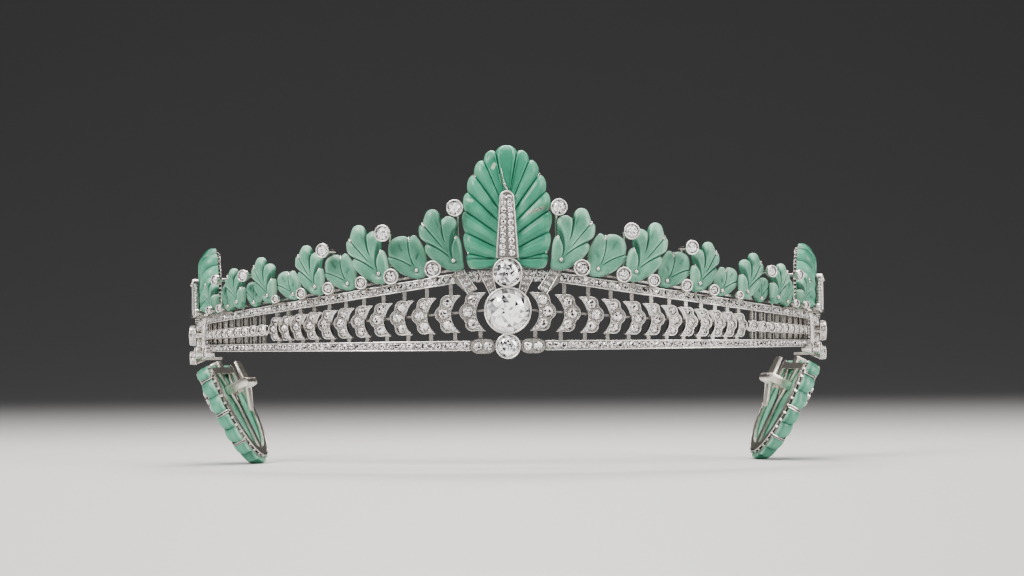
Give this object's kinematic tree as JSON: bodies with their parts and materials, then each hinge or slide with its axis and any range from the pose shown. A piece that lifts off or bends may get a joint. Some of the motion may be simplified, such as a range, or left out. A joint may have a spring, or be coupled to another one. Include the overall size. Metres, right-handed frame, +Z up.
{
  "type": "diadem",
  "caption": "Openwork tiara with a stone-set chevron band, carved leaves and palmettes, and sprung clips behind its hanging end palmettes.",
  "frame": {"origin": "middle of the head opening, level with the lower edge of the lower rail, where a head carries the band", "axes": "+Z up as worn; the front of the tiara faces -Y; +X to the right of someone who looks at its front"},
  "size_m": [0.1648, 0.063, 0.0776],
  "materials": {
    "platinum": "polished platinum with beaded edges",
    "green_stone": "carved, waxed green turquoise",
    "diamond": "cut and polished",
    "spring_metal": "satin white gold"
  },
  "bodies": {
    "diadem": {"bandeau": "platinum", "palmette_centre": "green_stone", "palmette_upper_right": "green_stone", "palmette_upper_left": "green_stone", "palmette_lower_right": "green_stone", "palmette_lower_left": "green_stone", "leaf_right_1": "green_stone", "leaf_right_2": "green_stone", "leaf_right_3": "green_stone", "leaf_right_4": "green_stone", "leaf_right_5": "green_stone", "leaf_right_6": "green_stone", "leaf_right_7": "green_stone", "leaf_right_8": "green_stone", "leaf_right_9": "green_stone", "leaf_right_10": "green_stone", "leaf_right_11": "green_stone", "leaf_left_1": "green_stone", "leaf_left_2": "green_stone", "leaf_left_3": "green_stone", "leaf_left_4": "green_stone", "leaf_left_5": "green_stone", "leaf_left_6": "green_stone", "leaf_left_7": "green_stone", "leaf_left_8": "green_stone", "leaf_left_9": "green_stone", "leaf_left_10": "green_stone", "leaf_left_11": "green_stone", "brooch_frame_right": "platinum", "brooch_frame_left": "platinum", "stone_centre": "diamond", "stone_upper": "diamond", "stone_lower": "diamond", "stone_side_right": "diamond", "stone_side_left": "diamond", "top_stone_right_1": "diamond", "top_stone_right_2": "diamond", "top_stone_right_3": "diamond", "top_stone_right_4": "diamond", "top_stone_right_5": "diamond", "top_stone_left_1": "diamond", "top_stone_left_2": "diamond", "top_stone_left_3": "diamond", "top_stone_left_4": "diamond", "top_stone_left_5": "diamond", "chevron_stones_right": "diamond", "chevron_stones_left": "diamond", "rail_stones_right": "diamond", "rail_stones_left": "diamond"},
    "clip_right": {"clip_lever_right": "spring_metal"},
    "clip_left": {"clip_lever_left": "spring_metal"}
  },
  "joints": [
    {"name": "clip_right_hinge", "type": "hinge", "parent": "diadem", "child": "clip_right", "pos_m": [0.06681, -0.00529, -0.00744], "axis": [-0.2419, 0.9703, 0], "range_deg": [0, 25], "stiffness_Nm_per_rad": 0.04, "springref_deg": -17.19},
    {"name": "clip_left_hinge", "type": "hinge", "parent": "diadem", "child": "clip_left", "pos_m": [-0.06681, -0.00529, -0.00744], "axis": [-0.2419, -0.9703, 0], "range_deg": [0, 25], "stiffness_Nm_per_rad": 0.04, "springref_deg": -17.19}
  ]
}
